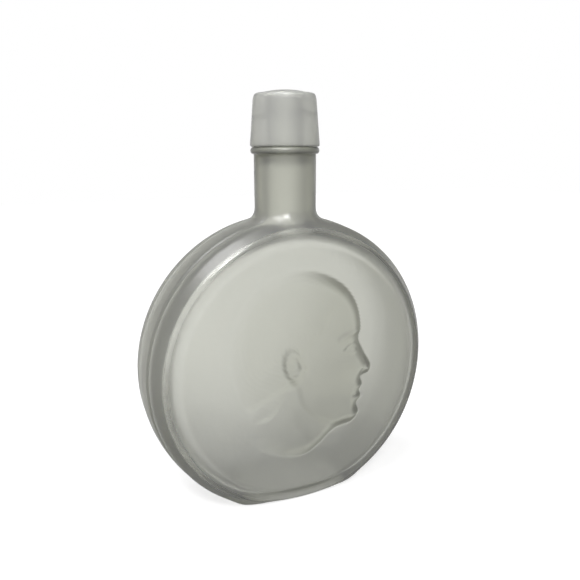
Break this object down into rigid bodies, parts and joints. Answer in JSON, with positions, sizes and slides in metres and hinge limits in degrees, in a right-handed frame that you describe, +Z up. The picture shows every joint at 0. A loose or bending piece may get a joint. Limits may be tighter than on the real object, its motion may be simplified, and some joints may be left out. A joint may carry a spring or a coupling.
{
  "type": "figural glass decanter",
  "caption": "Frosted glass moon-flask decanter with a profile head in low relief on its round face, a flat foot, a beaded neck and a tapered screw cap.",
  "frame": {"origin": "middle of the flat foot that the decanter stands on", "axes": "+Z up along the neck, -Y out of the portrait face, +X the way the portrait looks"},
  "size_m": [0.1506, 0.0477, 0.203],
  "materials": {
    "frosted_glass": "acid-etched clear glass, even satin frost outside",
    "frosted_plastic": "translucent moulded plastic, satin",
    "white_foam": "closed-cell foam disc, matt"
  },
  "bodies": {
    "bottle": {"glass_bottle": "frosted_glass"},
    "liner": {"cap_liner": "white_foam"},
    "cap": {"screw_cap": "frosted_plastic"}
  },
  "joints": [
    {"name": "cap_rise", "type": "slide", "parent": "bottle", "child": "liner", "axis": [0, 0, 1], "range_m": [0, 0.0254]},
    {"name": "cap_turn", "type": "hinge", "parent": "liner", "child": "cap", "pos_m": [0, 0, 0.19], "axis": [0, 0, 1], "range_deg": [0, 2880]}
  ],
  "couplings": [
    {"joint": "cap_rise", "follows": "cap_turn", "m_per_rad": 0.00050532}
  ]
}
